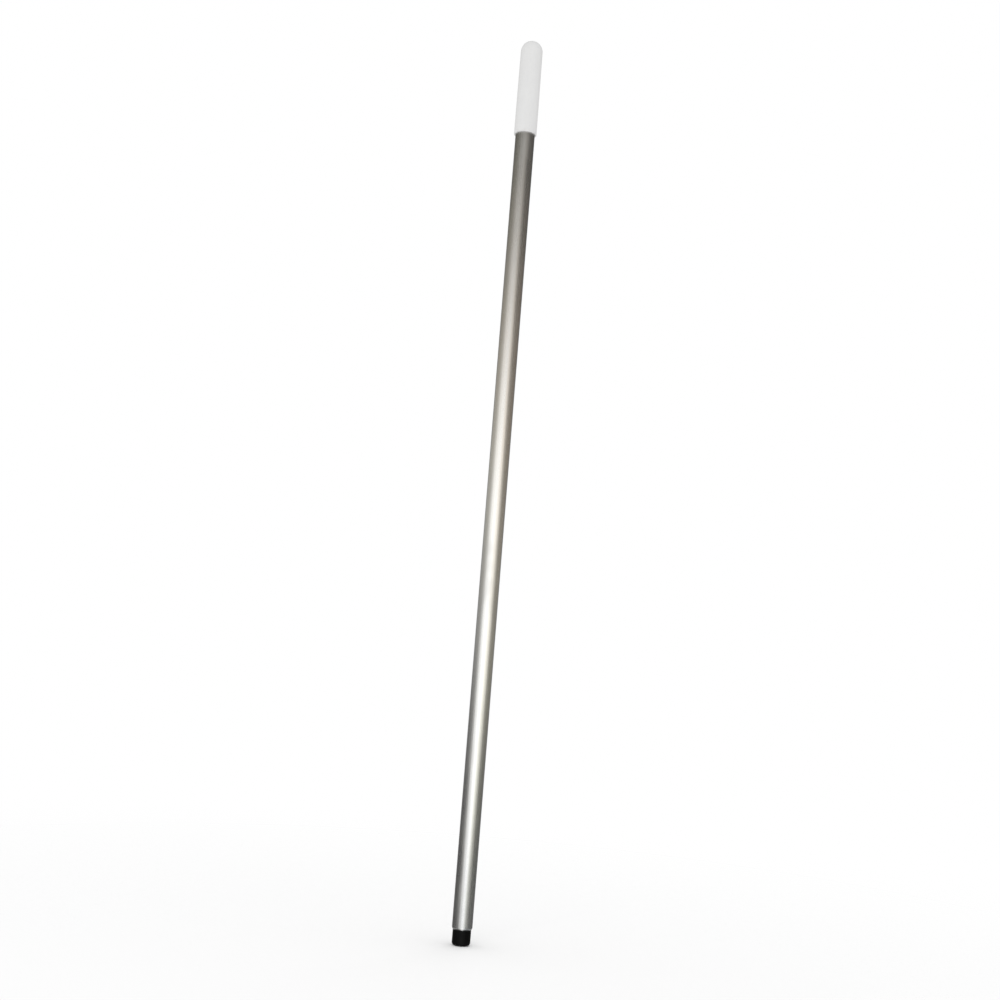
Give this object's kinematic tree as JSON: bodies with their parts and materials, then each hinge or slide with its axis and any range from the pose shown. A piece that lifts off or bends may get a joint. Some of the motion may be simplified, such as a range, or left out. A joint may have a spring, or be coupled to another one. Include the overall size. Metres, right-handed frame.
{
  "type": "stop/slow paddle staff",
  "caption": "Straight aluminium hand staff for a stop/slow traffic paddle, with a closed round-ended plastic grip at the top and a plain plastic spigot rolled into the lower end.",
  "frame": {"origin": "centre of the flat lower end face of the end plug", "axes": "+Z along the staff's axis, from the plug up to the crown of the grip; +Y from front to back; +X to the right"},
  "size_m": [0.0292, 0.0292, 1.15],
  "materials": {
    "satin_aluminium": "drawn tube with a satin anodised skin and fine lengthwise draw lines",
    "white_plastic": "off-white moulded plastic with a fine spark-eroded texture",
    "black_plastic": "black moulded plastic with a dull sheen"
  },
  "bodies": {
    "root": {"tube": "satin_aluminium", "grip": "white_plastic", "end_plug": "black_plastic"}
  },
  "joints": []
}
